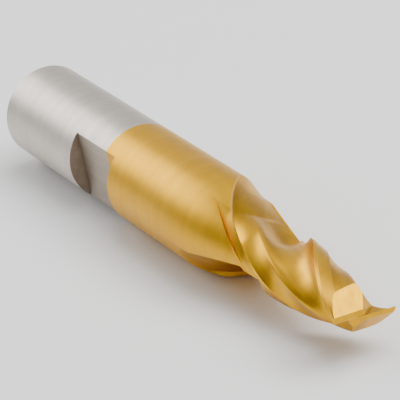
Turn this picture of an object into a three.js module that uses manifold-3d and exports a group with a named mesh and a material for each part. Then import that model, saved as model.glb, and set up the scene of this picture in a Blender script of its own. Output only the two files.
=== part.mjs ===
// Two-flute centre-cutting end mill with a reduced cutting diameter and a flat on its straight shank.
// Millimetres. The tool's axis is X with the cutting end at +X, and the flat on the shank faces -Y.
// The tool is drawn with its shank end at x = 0, then moved so that the origin is its middle.
import * as THREE from "three";
import { mergeVertices } from "three/addons/utils/BufferGeometryUtils.js";
import Module from "manifold-3d";

const wasm = await Module();
wasm.setup();

// Lengths along the tool.
const overallLength = 58.74;
const cutterLength = 15.24;
const neckLength = 7.0;
const plainHeadLength = 3.1;
const bareLength = 19.8;

// Diameters.
const shankDiameter = 9.525;
const cutterDiameter = 6.35;

// Shank end: a chamfer and the centre drilled for grinding.
const endChamfer = 0.5;
const centreDiameter = 2.4;
const centreConeAngle = 60;

// Flat for the holder's set screw.
const flatStart = 13.95;
const flatLength = 7.6;
const flatDepth = 1.55;

// Teeth. Angles are in degrees, measured at the cutting end from +Y towards +Z, and shares are of the
// cutting radius.
const toothCount = 2;
const firstToothAngle = -9;
const helixAngle = 32;
const edgeLength = 12.5;
const rakeAngle = 10;
const ridgeShare = 0.73;
const rakePullShare = 0.72;
const ridgePullShare = 0.3;
const ridgeAngle = 70;
const landAngle = 29;
const marginAngle = 7;
const marginRelief = 0.03;
const landRelief = 0.22;
const landOvercut = 3;

// Run-out of each flute past the neck. On its heel side the flute keeps to the helix as it climbs out of the
// bar, and on its rake side it runs out almost straight along the bar.
const runOutLead = 0.2;
const runOutLength = 10.2;
const gulletRunOut = 3.0;
const heelLead = 0.7;
const heelRunOut = 8.6;
const swingShare = 1.11;
const rimStep = 0.12;
const exitLength = 3.9;
const exitLift = 0.03;

// Start of each cutting edge, where the run-out has trimmed the tooth's tip to a flat with a steep end.
const trimShare = 0.65;
const trimAhead = 22;
const trimLength = 2.5;
const trimReach = 0.9;
const trimSlope = 0.4;
const trimEnd = 0.7;

// Run-out of the relief behind each edge, up the neck's cone to a point.
const reliefRunOut = 6.0;
const reliefHeelRunOut = 3.7;
const reliefSweep = 6.5;
const reliefStep = 0.32;

// End teeth.
const dishAngle = 2;
const endReliefAngle = 8;
const endReliefWidth = 0.55;
const endClearanceAngle = 42;
const gashSlope = 38;
const gashFall = 20;

// How far every cut runs clear of the bar, and how finely it is stepped.
const overrun = 1.0;
const barFacets = 64;
const helixStep = 0.75;
const arcSteps = 9;
const floorSteps = 4;

const degrees = Math.PI / 180;
const shankRadius = shankDiameter / 2;
const cutterRadius = cutterDiameter / 2;
const neckEnd = overallLength - cutterLength;
const shankEnd = neckEnd - neckLength;
const flutesStart = neckEnd - runOutLead - runOutLength;
const headStart = flutesStart - plainHeadLength;
const clearRadius = 2 * shankRadius;
const blockSize = 4 * clearRadius;
const twistRate = Math.tan(helixAngle * degrees) / cutterRadius / degrees;

// Turns a closed geometry into a solid that can be cut.
function solid(geometry) {
  const bare = geometry.index ? geometry.toNonIndexed() : geometry.clone();
  bare.deleteAttribute("normal");
  bare.deleteAttribute("uv");
  const merged = mergeVertices(bare, 1e-5);
  const mesh = new wasm.Mesh({
    numProp: 3,
    vertProperties: new Float32Array(merged.attributes.position.array),
    triVerts: new Uint32Array(merged.index.array),
  });
  return new wasm.Manifold(mesh);
}

// Revolves a profile of [x, radius] points about the tool's axis, with a flat facet on each side.
function turned(profile) {
  const points = profile.map(([x, radius]) => new THREE.Vector2(radius, x));
  const geometry = new THREE.LatheGeometry(points, barFacets, Math.PI / barFacets);
  geometry.rotateZ(-Math.PI / 2);
  return solid(geometry);
}

function polar(radius, angle) {
  return new THREE.Vector2(radius * Math.cos(angle * degrees), radius * Math.sin(angle * degrees));
}

function turn(point, angle) {
  return point.rotateAround(new THREE.Vector2(), angle * degrees);
}

// Radius of the uncut bar: shank, cone of the neck, then the cutting diameter.
function barRadius(x) {
  const along = THREE.MathUtils.clamp((x - shankEnd) / neckLength, 0, 1);
  return THREE.MathUtils.lerp(shankRadius, cutterRadius, along);
}

// Angle of a tooth's cutting edge at x.
function edgeAngle(tooth, x) {
  return firstToothAngle + (360 / toothCount) * tooth + twistRate * (x - overallLength);
}

// Extrudes an outline along the axis, then lets place(point, x) put every vertex in its cross-section.
function swept(outline, from, to, place) {
  const length = to - from;
  const steps = Math.ceil(length / helixStep);
  const options = { depth: length, steps, bevelEnabled: false, curveSegments: arcSteps };
  const geometry = new THREE.ExtrudeGeometry(outline, options);
  const position = geometry.getAttribute("position");
  for (let i = 0; i < position.count; i += 1) {
    const x = from + position.getZ(i);
    const point = place(new THREE.Vector2(position.getX(i), position.getY(i)), x);
    position.setXYZ(i, x, point.x, point.y);
  }
  return solid(geometry);
}

const heelAngle = 360 / toothCount - landAngle;
const heelRadius = cutterRadius - landRelief;
const edgePoint = new THREE.Vector2(cutterRadius, 0);
const ridgePoint = polar(ridgeShare * cutterRadius, 360 / toothCount - ridgeAngle);
const heelPoint = polar(heelRadius, heelAngle);
const topAngle = Math.atan((1 - cutterRadius / clearRadius) * Math.tan(rakeAngle * degrees)) / degrees;

// Adds a straight line as several short ones, so that it can be wound round the helix smoothly.
function lineInSteps(outline, end) {
  const start = outline.currentPoint.clone();
  for (let i = 1; i <= floorSteps; i += 1) {
    outline.lineTo(...start.clone().lerp(end, i / floorSteps).toArray());
  }
}

// Flute in cross-section, with its cutting edge at angle 0 and the flute ahead of it: the hooked gullet that
// starts with the rake face and rises to the ridge, then the tooth's back from the ridge to the heel.
function fluteOutline() {
  const rakePull = edgePoint.clone().sub(polar(rakePullShare * cutterRadius, rakeAngle));
  const backwards = ridgePoint.clone().sub(heelPoint).normalize();
  const ridgePull = ridgePoint.clone().addScaledVector(backwards, ridgePullShare * cutterRadius);
  const outline = new THREE.Shape();
  outline.moveTo(...polar(clearRadius, topAngle).toArray());
  outline.lineTo(edgePoint.x, edgePoint.y);
  outline.bezierCurveTo(rakePull.x, rakePull.y, ridgePull.x, ridgePull.y, ridgePoint.x, ridgePoint.y);
  lineInSteps(outline, heelPoint);
  for (let i = 0; i < floorSteps; i += 1) {
    const angle = THREE.MathUtils.lerp(heelAngle, topAngle, i / floorSteps);
    outline.lineTo(...polar(clearRadius, angle).toArray());
  }
  return outline;
}

// The flute's outline at x. The floor is held between its rake-side and heel-side lines. Once the straight
// line between them has climbed past the ridge the back follows it, and the gullet's hollow fades away.
function fluteAt(point, x) {
  const climb = Math.max(0, neckEnd - runOutLead - x);
  const heelClimb = Math.max(0, neckEnd - heelLead - x);
  const swing = swingShare * twistRate * climb;
  if (point.length() > shankRadius) {
    const across = (point.angle() / degrees - heelAngle) / (topAngle - heelAngle);
    return polar(clearRadius, THREE.MathUtils.lerp(heelAngle, topAngle + swing, across));
  }
  const exit = exitLift * Math.max(0, climb - (runOutLength - exitLength)) ** 2;
  const heelRise = ((shankRadius - heelRadius) * heelClimb) / heelRunOut;
  const rakeEnd = polar(barRadius(x) - rimStep * Math.min(1, climb) + exit, swing);
  const heelEnd = polar(heelRadius + heelRise + exit, heelAngle);
  const chord = heelEnd.clone().sub(rakeEnd);
  const chordAtRidge = chord.cross(rakeEnd) / chord.cross(ridgePoint);
  const ridge = ridgePoint.clone().multiplyScalar(Math.max(1, chordAtRidge));
  const onBack = point.y > 0 && point.angle() > ridgePoint.angle();
  if (onBack) {
    return ridge.lerp(heelEnd, point.distanceTo(ridgePoint) / heelPoint.distanceTo(ridgePoint));
  }
  const fullSlope = ridgePoint.clone().sub(edgePoint);
  const slope = ridge.clone().sub(rakeEnd);
  const offset = point.clone().sub(edgePoint);
  const along = offset.dot(fullSlope) / fullSlope.lengthSq();
  const hollow = Math.max(0, 1 - climb / gulletRunOut);
  const depth = (fullSlope.cross(offset) / fullSlope.length()) * hollow;
  const across = new THREE.Vector2(-slope.y, slope.x).normalize();
  return rakeEnd.addScaledVector(slope, along).addScaledVector(across, depth);
}

function fluteCut(tooth) {
  return swept(fluteOutline(), flutesStart, overallLength + overrun, (point, x) => {
    return turn(fluteAt(point, x), edgeAngle(tooth, x));
  });
}

// Trims the tooth's tip behind the start of its cutting edge. In its outline X is height above the trimmed
// flat and Y is across it, towards the flute.
function trimCut(tooth) {
  const outline = new THREE.Shape();
  outline.moveTo(0, -clearRadius);
  outline.lineTo(clearRadius, -clearRadius);
  outline.lineTo(clearRadius, trimReach);
  outline.lineTo(0, trimReach);
  const edgeStart = overallLength - edgeLength;
  const normal = edgeAngle(tooth, edgeStart) + trimAhead;
  return swept(outline, neckEnd - trimLength, edgeStart + trimEnd, (point, x) => {
    const behind = trimSlope * Math.max(0, neckEnd - x);
    const wall = (cutterRadius * Math.max(0, x - edgeStart)) / trimEnd;
    const floor = trimShare * cutterRadius + behind + wall;
    return turn(new THREE.Vector2(floor + point.x, point.y), normal);
  });
}

// Relief behind a cutting edge. Its outline is a strip: X is 0 at the margin and 1 at the heel, and Y is 0 on
// the relief's surface and 1 clear of the bar.
function reliefOutline() {
  const outline = new THREE.Shape();
  outline.moveTo(0, 0);
  for (let i = 1; i <= floorSteps; i += 1) {
    outline.lineTo(i / floorSteps, 0);
  }
  outline.lineTo(1, 1);
  outline.lineTo(0, 1);
  return outline;
}

function reliefCut(tooth) {
  const start = neckEnd - reliefRunOut;
  const heelOut = neckEnd - reliefHeelRunOut;
  return swept(reliefOutline(), start, overallLength + overrun, (strip, x) => {
    const climb = THREE.MathUtils.clamp((neckEnd - x) / reliefRunOut, 0, 1);
    const heelClimb = Math.max(0, (heelOut - x) / (heelOut - start));
    const bulge = Math.sin(Math.PI * climb);
    const marginBack = marginAngle * (1 - climb / 2) + reliefSweep * bulge;
    const heelBack = THREE.MathUtils.lerp(landAngle + landOvercut, marginAngle, heelClimb);
    const marginDepth = marginRelief * (1 - 2 * climb) + reliefStep * bulge;
    const heelDepth = landRelief * Math.min(1, (x - heelOut) / reliefHeelRunOut);
    const depth = THREE.MathUtils.lerp(marginDepth, heelDepth, strip.x);
    const surface = barRadius(x) - depth;
    const radius = strip.y === 0 ? surface : clearRadius;
    const back = THREE.MathUtils.lerp(marginBack, heelBack, strip.x);
    return polar(radius, edgeAngle(tooth, x) - back);
  });
}

// A block above a plane through the centre of the end face, drawn with X along the tool from the cutting
// end, Y out along the end edge and Z ahead of it. The plane falls by `fall` degrees behind the edge.
function blockAbove(fall) {
  const geometry = new THREE.BoxGeometry(blockSize, blockSize, blockSize);
  geometry.translate(blockSize / 2, 0, 0);
  geometry.rotateY(fall * degrees);
  return geometry;
}

// Turns a block to its tooth and keeps the half of it ahead of the end edge, or the half behind.
function onEnd(geometry, tooth, ahead) {
  const half = new THREE.BoxGeometry(blockSize, blockSize, blockSize);
  half.translate(0, 0, ahead ? blockSize / 2 : -blockSize / 2);
  const kept = solid(half).intersect(solid(geometry));
  return kept.rotate([edgeAngle(tooth, overallLength), 0, 0]).translate([overallLength, 0, 0]);
}

// Relief behind an end edge, falling away behind the line at `back` and dipping towards the centre.
function endPlane(tooth, back, drop, angle) {
  const geometry = blockAbove(angle);
  geometry.translate(-drop, -cutterRadius, -back);
  geometry.rotateZ(-dishAngle * degrees);
  geometry.translate(0, cutterRadius, 0);
  return onEnd(geometry, tooth, false);
}

// The gash clears the web in front of an end edge: a plane that deepens outwards from the centre and ahead.
function gashCut(tooth) {
  const geometry = blockAbove(-gashFall);
  geometry.rotateZ(gashSlope * degrees);
  return onEnd(geometry, tooth, true);
}

function cuttingHead() {
  const profile = [
    [headStart, 0],
    [headStart, shankRadius],
    [shankEnd, shankRadius],
    [neckEnd, cutterRadius],
    [overallLength, cutterRadius],
    [overallLength, 0],
  ];
  let head = turned(profile);
  const primaryDrop = endReliefWidth * Math.tan(endReliefAngle * degrees);
  for (let tooth = 0; tooth < toothCount; tooth += 1) {
    head = head.subtract(fluteCut(tooth));
    head = head.subtract(trimCut(tooth));
    head = head.subtract(reliefCut(tooth));
    head = head.subtract(endPlane(tooth, 0, 0, endReliefAngle));
    head = head.subtract(endPlane(tooth, endReliefWidth, primaryDrop, endClearanceAngle));
    head = head.subtract(gashCut(tooth));
  }
  return head;
}

// The block that leaves the flat on the shank.
function flatCut() {
  const geometry = new THREE.BoxGeometry(flatLength, shankRadius, shankDiameter + overrun);
  geometry.translate(flatStart + flatLength / 2, flatDepth - shankRadius * 1.5, 0);
  return solid(geometry);
}

function bareShank() {
  const centreRadius = centreDiameter / 2;
  const centreDepth = centreRadius / Math.tan((centreConeAngle / 2) * degrees);
  const profile = [
    [centreDepth, 0],
    [0, centreRadius],
    [0, shankRadius - endChamfer],
    [endChamfer, shankRadius],
    [bareLength, shankRadius],
    [bareLength, 0],
  ];
  return turned(profile).subtract(flatCut());
}

function coatedShank() {
  const profile = [
    [bareLength, 0],
    [bareLength, shankRadius],
    [headStart, shankRadius],
    [headStart, 0],
  ];
  return turned(profile).subtract(flatCut());
}

function meshOf(name, body, material) {
  const { vertProperties, triVerts } = body.getMesh();
  const geometry = new THREE.BufferGeometry();
  geometry.setAttribute("position", new THREE.BufferAttribute(new Float32Array(vertProperties), 3));
  geometry.setIndex(new THREE.BufferAttribute(new Uint32Array(triVerts), 1));
  geometry.computeVertexNormals();
  const mesh = new THREE.Mesh(geometry, material);
  mesh.name = name;
  mesh.position.x = -overallLength / 2;
  return mesh;
}

const steel = new THREE.MeshStandardMaterial({ color: 0xb9b1a7, roughness: 0.34, metalness: 1 });
const coatedSteel = new THREE.MeshStandardMaterial({ color: 0xdba73f, roughness: 0.3, metalness: 1 });
const coatedTeeth = new THREE.MeshStandardMaterial({ color: 0xe0ad45, roughness: 0.24, metalness: 1 });

const endMill = new THREE.Group();
endMill.name = "end_mill";
endMill.add(meshOf("shank", bareShank(), steel));
endMill.add(meshOf("coated_shank", coatedShank(), coatedSteel));
endMill.add(meshOf("cutting_head", cuttingHead(), coatedTeeth));

export default endMill;
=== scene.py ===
"""Looks of a two-flute end mill: ground high speed steel with titanium nitride from mid-shank to tip.

The scene is in metres, and the tool's sizes are named in millimetres. The tool lies along X with its
cutting end at +X and the flat on its shank facing -Y. Every piece is a turned bar that is then cut.
"""

import math

import bmesh
import bpy
from mathutils import Matrix, Vector


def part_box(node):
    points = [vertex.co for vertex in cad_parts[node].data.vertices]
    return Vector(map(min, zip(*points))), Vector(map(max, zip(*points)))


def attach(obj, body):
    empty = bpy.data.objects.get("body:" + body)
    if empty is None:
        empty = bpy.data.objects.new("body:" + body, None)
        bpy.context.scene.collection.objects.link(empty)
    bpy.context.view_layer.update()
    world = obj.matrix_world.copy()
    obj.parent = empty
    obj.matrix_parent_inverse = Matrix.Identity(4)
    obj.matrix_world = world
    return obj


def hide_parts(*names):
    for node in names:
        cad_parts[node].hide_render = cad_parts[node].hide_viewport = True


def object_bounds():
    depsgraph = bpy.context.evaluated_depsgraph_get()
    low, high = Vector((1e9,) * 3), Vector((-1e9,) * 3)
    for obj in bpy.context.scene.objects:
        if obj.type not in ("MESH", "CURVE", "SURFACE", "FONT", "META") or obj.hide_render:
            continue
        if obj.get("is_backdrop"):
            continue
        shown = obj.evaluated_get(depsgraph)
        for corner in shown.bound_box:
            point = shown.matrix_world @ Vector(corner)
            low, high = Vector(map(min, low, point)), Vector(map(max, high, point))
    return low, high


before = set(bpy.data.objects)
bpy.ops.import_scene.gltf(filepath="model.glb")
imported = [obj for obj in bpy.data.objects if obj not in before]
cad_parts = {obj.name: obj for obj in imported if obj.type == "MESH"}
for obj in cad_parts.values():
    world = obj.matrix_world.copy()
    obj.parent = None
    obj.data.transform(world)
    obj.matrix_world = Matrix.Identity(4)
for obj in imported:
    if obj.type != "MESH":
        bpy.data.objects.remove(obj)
cad_low, cad_high = (list(corner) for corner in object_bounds())

MM = 0.001
WELD_DISTANCE = 1e-8
CUT_WELD_DISTANCE = 1e-7

# Lengths along the tool from its shank end, and radii, in millimetres.
OVERALL = (cad_high[0] - cad_low[0]) / MM
CUTTER_LENGTH = 15.24
NECK_LENGTH = 7.0
BARE_LENGTH = (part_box("shank")[1].x - cad_low[0]) / MM
HEAD_START = (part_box("cutting_head")[0].x - cad_low[0]) / MM
SHANK_RADIUS = (cad_high[2] - cad_low[2]) / 2 / MM
CUTTER_RADIUS = 3.175

# Shank end and set-screw flat.
END_CHAMFER = 0.5
CENTRE_RADIUS = 1.2
CENTRE_HALF_ANGLE = 30
CENTRE_DEPTH = CENTRE_RADIUS / math.tan(math.radians(CENTRE_HALF_ANGLE))
FLAT_START = 13.95
FLAT_LENGTH = 7.6
FLAT_DEPTH = 1.55

# Teeth: angles in degrees, shares of the cutting radius.
TEETH = 2
FIRST_TOOTH_ANGLE = -9
HELIX_ANGLE = 32
EDGE_LENGTH = 12.5
RAKE_ANGLE = 10
RIDGE_SHARE = 0.73
RAKE_PULL_SHARE = 0.72
RIDGE_PULL_SHARE = 0.3
RIDGE_ANGLE = 70
LAND_ANGLE = 29
LAND_OVERCUT = 3
MARGIN_ANGLE = 7
MARGIN_RELIEF = 0.03
LAND_RELIEF = 0.22

# Run-out of each flute, of the trimmed flat at each edge's start and of the relief.
RUN_OUT_LEAD = 0.2
RUN_OUT_LENGTH = 10.2
GULLET_RUN_OUT = 3.0
HEEL_LEAD = 0.7
HEEL_RUN_OUT = 8.6
SWING_SHARE = 1.11
RIM_STEP = 0.12
EXIT_LENGTH = 3.9
EXIT_LIFT = 0.03
TRIM_SHARE = 0.65
TRIM_AHEAD = 22
TRIM_LENGTH = 2.5
TRIM_REACH = 0.9
TRIM_SLOPE = 0.4
TRIM_END = 0.7
RELIEF_RUN_OUT = 6.0
RELIEF_HEEL_RUN_OUT = 3.7
RELIEF_SWEEP = 6.5
RELIEF_STEP = 0.32

# End teeth.
DISH_ANGLE = 2
END_RELIEF_ANGLE = 8
END_RELIEF_WIDTH = 0.55
END_CLEARANCE_ANGLE = 42
GASH_SLOPE = 38
GASH_FALL = 20

# How far cuts run clear of the bar, and how finely surfaces are stepped.
OVERRUN = 1.0
BAR_FACETS = 256
HELIX_STEP = 0.2
GULLET_STEPS = 28
BACK_STEPS = 10
OUTER_STEPS = 6
STRIP_STEPS = 8

# A face this close to the bar's radius is what is left of the turned surface. Sharper angles stay creased.
TURNED_WITHIN = 0.02
CREASE_ANGLE = 24

NECK_END = OVERALL - CUTTER_LENGTH
SHANK_END = NECK_END - NECK_LENGTH
FLUTES_START = NECK_END - RUN_OUT_LEAD - RUN_OUT_LENGTH
CLEAR_RADIUS = 2 * SHANK_RADIUS
BLOCK_SIZE = 4 * CLEAR_RADIUS
TWIST_RATE = math.degrees(math.tan(math.radians(HELIX_ANGLE)) / CUTTER_RADIUS)
HEEL_ANGLE = 360 / TEETH - LAND_ANGLE
HEEL_RADIUS = CUTTER_RADIUS - LAND_RELIEF
RAKE_SLOPE = math.tan(math.radians(RAKE_ANGLE))
TOP_ANGLE = math.degrees(math.atan((1 - CUTTER_RADIUS / CLEAR_RADIUS) * RAKE_SLOPE))
RIDGE_FROM_EDGE = 360 / TEETH - RIDGE_ANGLE
PRIMARY_DROP = END_RELIEF_WIDTH * math.tan(math.radians(END_RELIEF_ANGLE))


def polar(radius, angle):
    return Vector((radius * math.cos(math.radians(angle)), radius * math.sin(math.radians(angle))))


def turn(point, angle):
    return Matrix.Rotation(math.radians(angle), 2) @ point


def mix(a, b, share):
    return a + (b - a) * share


def cross(a, b):
    return a.x * b.y - a.y * b.x


EDGE_POINT = Vector((CUTTER_RADIUS, 0))
RIDGE_POINT = polar(RIDGE_SHARE * CUTTER_RADIUS, RIDGE_FROM_EDGE)
HEEL_POINT = polar(HEEL_RADIUS, HEEL_ANGLE)


def bar_radius(x):
    along = min(1, max(0, (x - SHANK_END) / NECK_LENGTH))
    return mix(SHANK_RADIUS, CUTTER_RADIUS, along)


def edge_angle(tooth, x):
    return FIRST_TOOTH_ANGLE + 360 / TEETH * tooth + TWIST_RATE * (x - OVERALL)


def new_object(name, vertices, faces):
    """A closed mesh from points in millimetres along the tool from its shank end."""
    mesh = bpy.data.meshes.new(name)
    shank_end = Vector((cad_low[0], 0, 0))
    mesh.from_pydata([Vector(vertex) * MM + shank_end for vertex in vertices], [], faces)
    work = bmesh.new()
    work.from_mesh(mesh)
    bmesh.ops.remove_doubles(work, verts=work.verts, dist=WELD_DISTANCE)
    bmesh.ops.recalc_face_normals(work, faces=work.faces)
    bmesh.ops.triangulate(work, faces=[face for face in work.faces if len(face.verts) > 4])
    work.to_mesh(mesh)
    work.free()
    thing = bpy.data.objects.new(name, mesh)
    bpy.context.scene.collection.objects.link(thing)
    return thing


def turned(name, profile):
    """Revolves (x, radius) points about the axis. The first and the last point lie on it."""
    vertices, rings, faces = [], [], []
    for x, radius in profile:
        count = BAR_FACETS if radius > 0 else 1
        rings.append(range(len(vertices), len(vertices) + count))
        for i in range(count):
            around = 2 * math.pi * (i + 0.5) / BAR_FACETS
            vertices.append((x, radius * math.cos(around), radius * math.sin(around)))
    for near, far in zip(rings, rings[1:]):
        for i in range(BAR_FACETS):
            j = (i + 1) % BAR_FACETS
            if len(near) == 1:
                faces.append((near[0], far[i], far[j]))
            elif len(far) == 1:
                faces.append((near[i], near[j], far[0]))
            else:
                faces.append((near[i], near[j], far[j], far[i]))
    return new_object(name, vertices, faces)


def swept(name, outline, start, end, place):
    """Carries a closed outline from start to end along the axis; place(point, x) puts each point."""
    steps = math.ceil((end - start) / HELIX_STEP)
    count = len(outline)
    vertices, faces = [], []
    for step in range(steps + 1):
        x = mix(start, end, step / steps)
        for point in outline:
            placed = place(point, x)
            vertices.append((x, placed.x, placed.y))
    for step in range(steps):
        base = step * count
        for i in range(count):
            j = (i + 1) % count
            faces.append((base + i, base + j, base + count + j, base + count + i))
    faces.append(tuple(reversed(range(count))))
    faces.append(tuple(range(steps * count, (steps + 1) * count)))
    return new_object(name, vertices, faces)


def block(name, low, high, matrix=Matrix.Identity(4)):
    corners = [(x, y, z) for x in (low[0], high[0]) for y in (low[1], high[1]) for z in (low[2], high[2])]
    faces = [(0, 1, 3, 2), (4, 6, 7, 5), (0, 4, 5, 1), (2, 3, 7, 6), (0, 2, 6, 4), (1, 5, 7, 3)]
    return new_object(name, [matrix @ Vector(corner) for corner in corners], faces)


def apply_boolean(thing, tool, operation):
    modifier = thing.modifiers.new("cut", "BOOLEAN")
    modifier.operation = operation
    modifier.solver = "MANIFOLD"
    modifier.object = tool
    evaluated = thing.evaluated_get(bpy.context.evaluated_depsgraph_get())
    mesh = bpy.data.meshes.new_from_object(evaluated)
    thing.modifiers.clear()
    thing.data = mesh
    bpy.data.objects.remove(tool)


def bezier(start, start_pull, end_pull, end, t):
    s = 1 - t
    return start * s**3 + start_pull * (3 * s * s * t) + end_pull * (3 * s * t * t) + end * t**3


def flute_outline():
    """The flute in cross-section, with its cutting edge at angle 0 and the flute ahead of it: the hooked
    gullet from the edge to the ridge, the tooth's straight back to the heel, then a line clear of the bar."""
    rake_pull = EDGE_POINT - polar(RAKE_PULL_SHARE * CUTTER_RADIUS, RAKE_ANGLE)
    backwards = (RIDGE_POINT - HEEL_POINT).normalized()
    ridge_pull = RIDGE_POINT + backwards * (RIDGE_PULL_SHARE * CUTTER_RADIUS)
    pulls = (EDGE_POINT, rake_pull, ridge_pull, RIDGE_POINT)
    gullet = [bezier(*pulls, i / GULLET_STEPS) for i in range(GULLET_STEPS)]
    back = [mix(RIDGE_POINT, HEEL_POINT, i / BACK_STEPS) for i in range(BACK_STEPS + 1)]
    sweep = [mix(HEEL_ANGLE, TOP_ANGLE, i / OUTER_STEPS) for i in range(OUTER_STEPS + 1)]
    return gullet + back + [polar(CLEAR_RADIUS, angle) for angle in sweep]


def flute_at(point, x):
    """The flute's outline at x. Its floor is held between a line at the rake side, which runs out almost
    straight along the bar, and a line at the heel side, which keeps to the helix."""
    climb = max(0, NECK_END - RUN_OUT_LEAD - x)
    heel_climb = max(0, NECK_END - HEEL_LEAD - x)
    swing = SWING_SHARE * TWIST_RATE * climb
    angle = math.degrees(math.atan2(point.y, point.x))
    if point.length > SHANK_RADIUS:
        across = (angle - HEEL_ANGLE) / (TOP_ANGLE - HEEL_ANGLE)
        return polar(CLEAR_RADIUS, mix(HEEL_ANGLE, TOP_ANGLE + swing, across))
    leave = EXIT_LIFT * max(0, climb - (RUN_OUT_LENGTH - EXIT_LENGTH)) ** 2
    heel_rise = (SHANK_RADIUS - HEEL_RADIUS) * heel_climb / HEEL_RUN_OUT
    rake_end = polar(bar_radius(x) - RIM_STEP * min(1, climb) + leave, swing)
    heel_end = polar(HEEL_RADIUS + heel_rise + leave, HEEL_ANGLE)
    chord = heel_end - rake_end
    ridge = RIDGE_POINT * max(1, cross(chord, rake_end) / cross(chord, RIDGE_POINT))
    if point.y > 0 and angle > RIDGE_FROM_EDGE:
        return mix(ridge, heel_end, (point - RIDGE_POINT).length / (HEEL_POINT - RIDGE_POINT).length)
    full_slope = RIDGE_POINT - EDGE_POINT
    slope = ridge - rake_end
    offset = point - EDGE_POINT
    along = offset.dot(full_slope) / full_slope.length_squared
    depth = cross(full_slope, offset) / full_slope.length * max(0, 1 - climb / GULLET_RUN_OUT)
    return rake_end + slope * along + Vector((-slope.y, slope.x)).normalized() * depth


def flute_cut(tooth):
    return swept(
        "flute_cut",
        flute_outline(),
        FLUTES_START,
        OVERALL + OVERRUN,
        lambda point, x: turn(flute_at(point, x), edge_angle(tooth, x)),
    )


def trim_cut(tooth):
    """The flat that the run-out leaves on a tooth's tip behind the start of its edge."""
    outline = [
        Vector((0, -CLEAR_RADIUS)),
        Vector((CLEAR_RADIUS, -CLEAR_RADIUS)),
        Vector((CLEAR_RADIUS, TRIM_REACH)),
        Vector((0, TRIM_REACH)),
    ]
    edge_start = OVERALL - EDGE_LENGTH
    normal = edge_angle(tooth, edge_start) + TRIM_AHEAD

    def place(point, x):
        behind = TRIM_SLOPE * max(0, NECK_END - x)
        wall = CUTTER_RADIUS * max(0, x - edge_start) / TRIM_END
        floor = TRIM_SHARE * CUTTER_RADIUS + behind + wall
        return turn(Vector((floor + point.x, point.y)), normal)

    return swept("trim_cut", outline, NECK_END - TRIM_LENGTH, edge_start + TRIM_END, place)


def relief_cut(tooth):
    """The relief behind an edge. In its outline X is 0 at the margin and 1 at the heel, and Y is 0 on the
    relief's surface and 1 clear of the bar."""
    start = NECK_END - RELIEF_RUN_OUT
    heel_out = NECK_END - RELIEF_HEEL_RUN_OUT
    outline = [Vector((i / STRIP_STEPS, 0)) for i in range(STRIP_STEPS + 1)]
    outline += [Vector((1, 1)), Vector((0, 1))]

    def place(strip, x):
        climb = min(1, max(0, (NECK_END - x) / RELIEF_RUN_OUT))
        heel_climb = max(0, (heel_out - x) / (heel_out - start))
        bulge = math.sin(math.pi * climb)
        margin_back = MARGIN_ANGLE * (1 - climb / 2) + RELIEF_SWEEP * bulge
        heel_back = mix(LAND_ANGLE + LAND_OVERCUT, MARGIN_ANGLE, heel_climb)
        margin_depth = MARGIN_RELIEF * (1 - 2 * climb) + RELIEF_STEP * bulge
        heel_depth = LAND_RELIEF * min(1, (x - heel_out) / RELIEF_HEEL_RUN_OUT)
        surface = bar_radius(x) - mix(margin_depth, heel_depth, strip.x)
        radius = surface if strip.y == 0 else CLEAR_RADIUS
        return polar(radius, edge_angle(tooth, x) - mix(margin_back, heel_back, strip.x))

    return swept("relief_cut", outline, start, OVERALL + OVERRUN, place)


def end_cut(name, tooth, ahead, plane):
    """The half space above a plane at the tip, on the side ahead of the end edge or behind it."""
    size = BLOCK_SIZE
    around = math.radians(edge_angle(tooth, OVERALL))
    on_tooth = Matrix.Translation((OVERALL, 0, 0)) @ Matrix.Rotation(around, 4, "X")
    tool = block(name, (0, -size / 2, -size / 2), (size, size / 2, size / 2), on_tooth @ plane)
    near, far = (0, size) if ahead else (-size, 0)
    half = block("half", (-size, -size, near), (size, size, far), on_tooth)
    apply_boolean(tool, half, "INTERSECT")
    return tool


def end_plane(tooth, back, drop, angle):
    """A face behind an end edge that falls away by angle from a line at back, dished towards the centre."""
    plane = (
        Matrix.Translation((0, CUTTER_RADIUS, 0))
        @ Matrix.Rotation(math.radians(-DISH_ANGLE), 4, "Z")
        @ Matrix.Translation((-drop, -CUTTER_RADIUS, -back))
        @ Matrix.Rotation(math.radians(angle), 4, "Y")
    )
    return end_cut("end_cut", tooth, False, plane)


def gash_cut(tooth):
    """The notch that clears the web in front of an end edge."""
    slope = Matrix.Rotation(math.radians(GASH_SLOPE), 4, "Z")
    plane = slope @ Matrix.Rotation(math.radians(-GASH_FALL), 4, "Y")
    return end_cut("gash_cut", tooth, True, plane)


def flat_cut():
    return block(
        "flat_cut",
        (FLAT_START, -2 * SHANK_RADIUS, -SHANK_RADIUS - OVERRUN),
        (FLAT_START + FLAT_LENGTH, FLAT_DEPTH - SHANK_RADIUS, SHANK_RADIUS + OVERRUN),
    )


# ---------------------------------------------------------------- materials


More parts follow.
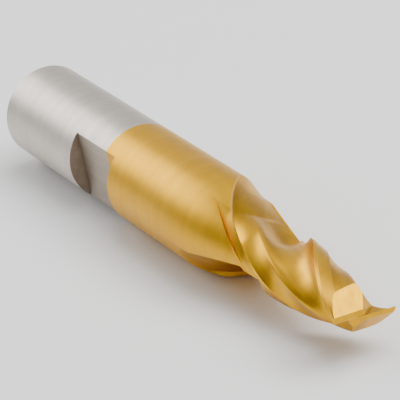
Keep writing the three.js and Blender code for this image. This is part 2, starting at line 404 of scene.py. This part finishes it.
class Shader:
    """A small helper that strings procedural nodes together."""

    def __init__(self, name):
        self.material = bpy.data.materials.new(name)
        self.material.use_nodes = True
        self.nodes = self.material.node_tree.nodes
        self.links = self.material.node_tree.links
        self.surface = self.nodes["Principled BSDF"]
        self.place = self.node("ShaderNodeTexCoord").outputs["Object"]

    def node(self, kind, inputs=(), **settings):
        made = self.nodes.new(kind)
        for key, value in settings.items():
            setattr(made, key, value)
        for socket, value in dict(inputs).items():
            if isinstance(value, bpy.types.NodeSocket):
                self.links.new(value, made.inputs[socket])
            else:
                made.inputs[socket].default_value = value
        return made

    def math(self, operation, a, b=0.0, c=0.0):
        return self.node("ShaderNodeMath", {0: a, 1: b, 2: c}, operation=operation).outputs[0]

    def unwind(self):
        """Turns the coordinates back along the helix, so that lines along X follow the flutes."""
        along = self.node("ShaderNodeSeparateXYZ", {0: self.place}).outputs["X"]
        angle = self.math("MULTIPLY", along, -math.radians(TWIST_RATE) / MM)
        inputs = {"Vector": self.place, "Angle": angle}
        self.place = self.node("ShaderNodeVectorRotate", inputs, rotation_type="X_AXIS").outputs[0]

    def stretched(self, scale):
        return self.node("ShaderNodeMapping", {"Vector": self.place, "Scale": scale}).outputs[0]

    def noise(self, scale, size, detail=3.0, rough=0.55):
        """Noise of about size metres, drawn out by the scale of each axis, from 0 to 1."""
        inputs = {
            "Vector": self.stretched(scale),
            "Scale": 1 / size,
            "Detail": detail,
            "Roughness": rough,
        }
        return self.node("ShaderNodeTexNoise", inputs).outputs["Fac"]

    def spread(self, value, low, high, to_low, to_high):
        inputs = {
            "Value": value,
            "From Min": low,
            "From Max": high,
            "To Min": to_low,
            "To Max": to_high,
        }
        return self.node("ShaderNodeMapRange", inputs).outputs[0]

    def blend(self, share, first, second):
        made = self.node("ShaderNodeMix", data_type="RGBA")
        for socket, value in ((made.inputs[0], share), (made.inputs[6], first), (made.inputs[7], second)):
            if isinstance(value, bpy.types.NodeSocket):
                self.links.new(value, socket)
            else:
                socket.default_value = value
        return made.outputs[2]

    def feed(self, socket, value):
        if isinstance(value, bpy.types.NodeSocket):
            self.links.new(value, self.surface.inputs[socket])
        else:
            self.surface.inputs[socket].default_value = value

    def bump(self, layers):
        normal = None
        for height, strength, distance in layers:
            inputs = {"Height": height, "Strength": strength, "Distance": distance}
            if normal is not None:
                inputs["Normal"] = normal
            normal = self.node("ShaderNodeBump", inputs).outputs[0]
        self.feed("Normal", normal)

    def crevice_shade(self, distance):
        """1 deep in a corner, 0 on an open face: where painted shade darkens the colour."""
        inputs = {"Distance": distance}
        occlusion = self.node("ShaderNodeAmbientOcclusion", inputs, samples=8, only_local=True)
        return self.spread(occlusion.outputs["AO"], 0.25, 0.8, 1.0, 0.0)

    def edge_wear_and_highlight(self, radius, gain):
        """1 on sharp outer edges, 0 elsewhere: where edges brighten as rubbed wear and painted highlight."""
        bevel = self.node("ShaderNodeBevel", {"Radius": radius}, samples=6).outputs[0]
        normal = self.node("ShaderNodeNewGeometry").outputs["Normal"]
        inputs = {0: bevel, 1: normal}
        agree = self.node("ShaderNodeVectorMath", inputs, operation="DOT_PRODUCT").outputs["Value"]
        return self.spread(agree, 1 - gain, 0.999, 1.0, 0.0)


# How noise is drawn out for grinding lines round the bar or along it: a small number stretches its axis.
RINGS = (1, 0.015, 0.015)
LENGTHWISE = (0.015, 1, 1)
EVEN = (1, 1, 1)
SCRATCHES = (0.12, 1, 1)

# Sizes of the marks, in metres.
LINE_SIZE = 0.00012
BAND_SIZE = 0.0011
CLOUD_SIZE = 0.0021
SPECK_SIZE = 0.00022
SCRATCH_SIZE = 0.00016
# CREVICE_REACH is how far the painted shade in corners reaches.
CREVICE_REACH = 0.0009
EDGE_RADIUS = 0.00007
LINE_DEPTH = 0.000006
SPECK_DEPTH = 0.000005
BAND_DEPTH = 0.00001

# How strongly each mark shows.
# The painted shade in corners: how dark its colour is and how strongly it shows.
PAINTED_SHADE_TINT = 0.35
CREVICE_SHADE_SHARE = 0.75
# Edge brightening, partly rubbed wear and partly a painted highlight: how strongly it shows and how sharp an
# edge takes it.
WEAR_AND_HIGHLIGHT_SHARE = 0.7
WEAR_AND_HIGHLIGHT_GAIN = 0.16
NICK_SHARE = 0.55

# The edge colours are lighter copies for sharp edges: partly rubbed wear, partly a painted highlight.
STEEL = (0.62, 0.57, 0.51, 1)
STEEL_DARK = (0.47, 0.425, 0.37, 1)
STEEL_EDGE = (0.80, 0.77, 0.73, 1)
MILLED = (0.46, 0.40, 0.33, 1)
MILLED_DARK = (0.31, 0.26, 0.21, 1)
GOLD = (0.74, 0.395, 0.006, 1)
GOLD_DARK = (0.58, 0.29, 0.004, 1)
GOLD_EDGE = (0.95, 0.62, 0.07, 1)
DEEP_GOLD = (0.74, 0.36, 0.018, 1)
DEEP_GOLD_DARK = (0.46, 0.20, 0.010, 1)


def metal(name, colours, roughness, line_share, mottle, grain, helical=False):
    """Ground metal in (main, dark, edge) colours: fine lines along the grain, broader bands, clouds, small
    nicks, painted shade darkening the crevices, and sharp edges brightened partly as rubbed wear and partly
    as a painted highlight."""
    main, dark, edge = colours
    shader = Shader(name)
    if helical:
        shader.unwind()
    line = shader.noise(grain, LINE_SIZE, 2.0)
    band = shader.noise(grain, BAND_SIZE, 2.0)
    cloud = shader.noise(EVEN, CLOUD_SIZE, 4.0)
    speck = shader.noise(EVEN, SPECK_SIZE, 3.0)
    scratch = shader.noise(SCRATCHES, SCRATCH_SIZE, 1.0, 0.4)

    shade = shader.math("MULTIPLY_ADD", band, 0.5, shader.math("MULTIPLY", cloud, 0.5))
    nick = shader.spread(scratch, 0.74, 0.78, 0.0, NICK_SHARE)
    # Painted shade: corners and hollows darken towards a dim copy of the dark colour.
    crevice_shade = shader.math("MULTIPLY", shader.crevice_shade(CREVICE_REACH), CREVICE_SHADE_SHARE)
    # Sharp outer edges go towards the lighter edge colour: partly rubbed wear, partly a painted highlight.
    wear_and_highlight = shader.math("MULTIPLY", shader.edge_wear_and_highlight(EDGE_RADIUS, WEAR_AND_HIGHLIGHT_GAIN), WEAR_AND_HIGHLIGHT_SHARE)
    painted_shade_colour = tuple(PAINTED_SHADE_TINT * channel for channel in dark[:3]) + (1,)
    tone = shader.blend(shader.spread(shade, 0.38, 0.62, 0.0, mottle), main, dark)
    tone = shader.blend(nick, tone, dark)
    tone = shader.blend(crevice_shade, tone, painted_shade_colour)
    tone = shader.blend(wear_and_highlight, tone, edge)
    shader.feed("Base Color", tone)
    shader.feed("Metallic", 1.0)

    rough = shader.math("MULTIPLY_ADD", line, line_share, roughness - line_share / 2)
    rough = shader.math("MULTIPLY_ADD", speck, 0.08, rough)
    shader.feed("Roughness", shader.math("MULTIPLY_ADD", nick, 0.15, rough))
    shader.bump([(line, 0.35, LINE_DEPTH), (speck, 0.15, SPECK_DEPTH), (band, 0.15, BAND_DEPTH)])
    return shader.material


def ground_steel():
    return metal("ground_steel", (STEEL, STEEL_DARK, STEEL_EDGE), 0.40, 0.16, 0.5, RINGS)


def milled_steel():
    return metal("milled_steel", (MILLED, MILLED_DARK, STEEL), 0.46, 0.2, 0.6, LENGTHWISE)


def coated_rings(name):
    return metal(name, (GOLD, GOLD_DARK, GOLD_EDGE), 0.38, 0.14, 0.5, RINGS)


def coated_milled():
    return metal("coated_milled", (DEEP_GOLD, DEEP_GOLD_DARK, GOLD_EDGE), 0.42, 0.16, 0.5, LENGTHWISE)


def coated_flute():
    colours = (GOLD, DEEP_GOLD_DARK, GOLD_EDGE)
    return metal("coated_flute", colours, 0.33, 0.2, 0.55, LENGTHWISE, helical=True)


# ---------------------------------------------------------------- pieces


def finish_piece(thing, outer, cut, node):
    """Gives what is left of the turned surface the first material and what was cut into it the second."""
    thing.data.materials.clear()
    thing.data.materials.append(outer)
    thing.data.materials.append(cut)
    work = bmesh.new()
    work.from_mesh(thing.data)
    bmesh.ops.remove_doubles(work, verts=work.verts, dist=CUT_WELD_DISTANCE)
    bmesh.ops.dissolve_degenerate(work, edges=work.edges, dist=CUT_WELD_DISTANCE)
    bmesh.ops.recalc_face_normals(work, faces=work.faces)
    work.to_mesh(thing.data)
    work.free()
    for polygon in thing.data.polygons:
        x = (polygon.center.x - cad_low[0]) / MM
        radius = math.hypot(polygon.center.y, polygon.center.z) / MM
        turned_face = radius > bar_radius(x) - TURNED_WITHIN or x < END_CHAMFER
        polygon.use_smooth = True
        polygon.material_index = 0 if turned_face else 1
    thing.data.set_sharp_from_angle(angle=math.radians(CREASE_ANGLE))
    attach(thing, "root")
    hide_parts(node)


def bare_bar():
    profile = [
        (CENTRE_DEPTH, 0),
        (0, CENTRE_RADIUS),
        (0, SHANK_RADIUS - END_CHAMFER),
        (END_CHAMFER, SHANK_RADIUS),
        (BARE_LENGTH, SHANK_RADIUS),
        (BARE_LENGTH, 0),
    ]
    bar = turned("bare_bar", profile)
    apply_boolean(bar, flat_cut(), "DIFFERENCE")
    finish_piece(bar, ground_steel(), milled_steel(), "shank")


def coated_bar():
    profile = [
        (BARE_LENGTH, 0),
        (BARE_LENGTH, SHANK_RADIUS),
        (HEAD_START, SHANK_RADIUS),
        (HEAD_START, 0),
    ]
    bar = turned("coated_bar", profile)
    apply_boolean(bar, flat_cut(), "DIFFERENCE")
    outer = coated_rings("coated_shank_steel")
    finish_piece(bar, outer, coated_milled(), "coated_shank")


def milling_head():
    profile = [
        (HEAD_START, 0),
        (HEAD_START, SHANK_RADIUS),
        (SHANK_END, SHANK_RADIUS),
        (NECK_END, CUTTER_RADIUS),
        (OVERALL, CUTTER_RADIUS),
        (OVERALL, 0),
    ]
    head = turned("milling_head", profile)
    for tooth in range(TEETH):
        apply_boolean(head, flute_cut(tooth), "DIFFERENCE")
        apply_boolean(head, trim_cut(tooth), "DIFFERENCE")
        apply_boolean(head, relief_cut(tooth), "DIFFERENCE")
        primary = end_plane(tooth, 0, 0, END_RELIEF_ANGLE)
        apply_boolean(head, primary, "DIFFERENCE")
        clearance = end_plane(tooth, END_RELIEF_WIDTH, PRIMARY_DROP, END_CLEARANCE_ANGLE)
        apply_boolean(head, clearance, "DIFFERENCE")
        apply_boolean(head, gash_cut(tooth), "DIFFERENCE")
    outer = coated_rings("coated_head_steel")
    finish_piece(head, outer, coated_flute(), "cutting_head")


bare_bar()
coated_bar()
milling_head()

# ---------------------------------------------------------------- stage

FLOOR_SIZE = 3.0


def paper():
    shader = Shader("paper")
    shader.feed("Base Color", (0.92, 0.92, 0.92, 1))
    shader.feed("Roughness", 0.9)
    shader.bump([(shader.noise(EVEN, 0.002, 2.0), 0.05, 0.00002)])
    return shader.material


def pale_floor():
    corners = [(-1, -1), (1, -1), (1, 1), (-1, 1)]
    mesh = bpy.data.meshes.new("floor")
    mesh.from_pydata([(FLOOR_SIZE * x, FLOOR_SIZE * y, cad_low[2]) for x, y in corners], [], [(0, 1, 2, 3)])
    mesh.materials.append(paper())
    floor = bpy.data.objects.new("floor", mesh)
    bpy.context.scene.collection.objects.link(floor)
    floor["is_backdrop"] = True


def soft_light(name, direction, distance, width, height, power):
    """A soft rectangle of light that faces the tool from a direction."""
    lamp = bpy.data.lights.new(name, "AREA")
    lamp.shape = "RECTANGLE"
    lamp.size = width
    lamp.size_y = height
    lamp.energy = power
    thing = bpy.data.objects.new(name, lamp)
    bpy.context.scene.collection.objects.link(thing)
    thing.location = Vector(direction).normalized() * distance
    thing.rotation_euler = (-Vector(direction)).to_track_quat("-Z", "Y").to_euler()


def pale_studio():
    """White light from all round, brightest towards the shank's end."""
    world = bpy.data.worlds.new("studio")
    world.use_nodes = True
    nodes = world.node_tree.nodes
    links = world.node_tree.links
    facing = nodes.new("ShaderNodeVectorMath")
    facing.operation = "DOT_PRODUCT"
    facing.inputs[1].default_value = (-0.9, 0.1, 0.45)
    links.new(nodes.new("ShaderNodeTexCoord").outputs["Generated"], facing.inputs[0])
    ramp = nodes.new("ShaderNodeMapRange")
    ramp.inputs["From Min"].default_value = 0.4
    ramp.inputs["From Max"].default_value = 0.9
    ramp.inputs["To Min"].default_value = 0.22
    ramp.inputs["To Max"].default_value = 0.9
    links.new(facing.outputs["Value"], ramp.inputs["Value"])
    links.new(ramp.outputs[0], nodes["Background"].inputs["Strength"])
    nodes["Background"].inputs["Color"].default_value = (1, 1, 1, 1)
    bpy.context.scene.world = world


pale_floor()
pale_studio()
soft_light("shank_side", (-0.8, -0.25, 0.52), 0.7, 0.5, 0.35, 2.4)
soft_light("tip_side", (0.49, 0.56, 0.67), 0.7, 0.3, 0.3, 2.0)
soft_light("ceiling", (0.2, 0.35, 0.9), 0.9, 0.7, 0.7, 9.0)

# A long lens looks down at the tool from beyond its tip, a little rolled.
CAMERA_PLACE = (0.21416, -0.10159, 0.12681)
CAMERA_RIGHT = Vector((0.50959, 0.84127, -0.18050))
CAMERA_UP = Vector((-0.32783, 0.38380, 0.86326))
CAMERA_FORWARD = Vector((-0.79551, 0.38074, -0.47138))
camera_data = bpy.data.cameras.new("camera")
camera_data.lens = 257.1
camera_data.sensor_width = 36
camera_data.clip_start = 0.01
camera = bpy.data.objects.new("camera", camera_data)
bpy.context.scene.collection.objects.link(camera)
turning = Matrix((CAMERA_RIGHT, CAMERA_UP, -CAMERA_FORWARD)).transposed().to_4x4()
camera.matrix_world = Matrix.Translation(CAMERA_PLACE) @ turning
bpy.context.scene.camera = camera

bpy.context.view_layer.update()
